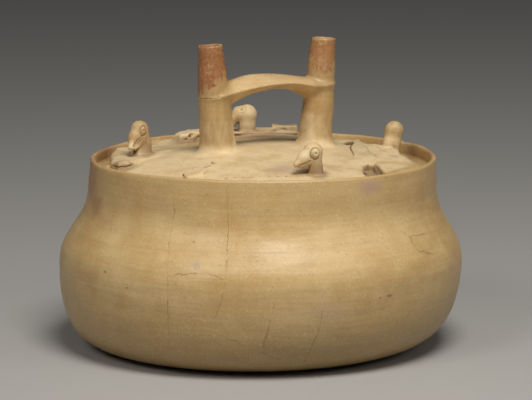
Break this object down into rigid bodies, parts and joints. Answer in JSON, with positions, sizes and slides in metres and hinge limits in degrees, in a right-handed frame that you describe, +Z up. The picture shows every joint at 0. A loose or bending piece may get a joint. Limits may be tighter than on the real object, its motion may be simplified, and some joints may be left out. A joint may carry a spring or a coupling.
{
  "type": "double-spout-and-bridge vessel",
  "caption": "Squat round clay vessel with a straight collar, a sunken domed top, two leaning spouts joined by a strap bridge, and small modelled birds perched inside the collar.",
  "frame": {"origin": "middle of the flat foot, on the surface that the vessel stands on", "axes": "+Z up; +X along the line of the two spouts, towards the taller one; +Y to the far side of the bridge"},
  "size_m": [0.201, 0.2007, 0.1529],
  "materials": {
    "clay": "burnished cream earthenware, worn, with red-brown paint on the upper spouts"
  },
  "bodies": {
    "root": {"bowl": "clay", "sunken_top": "clay", "left_spout": "clay", "right_spout": "clay", "bridge": "clay"}
  },
  "joints": []
}
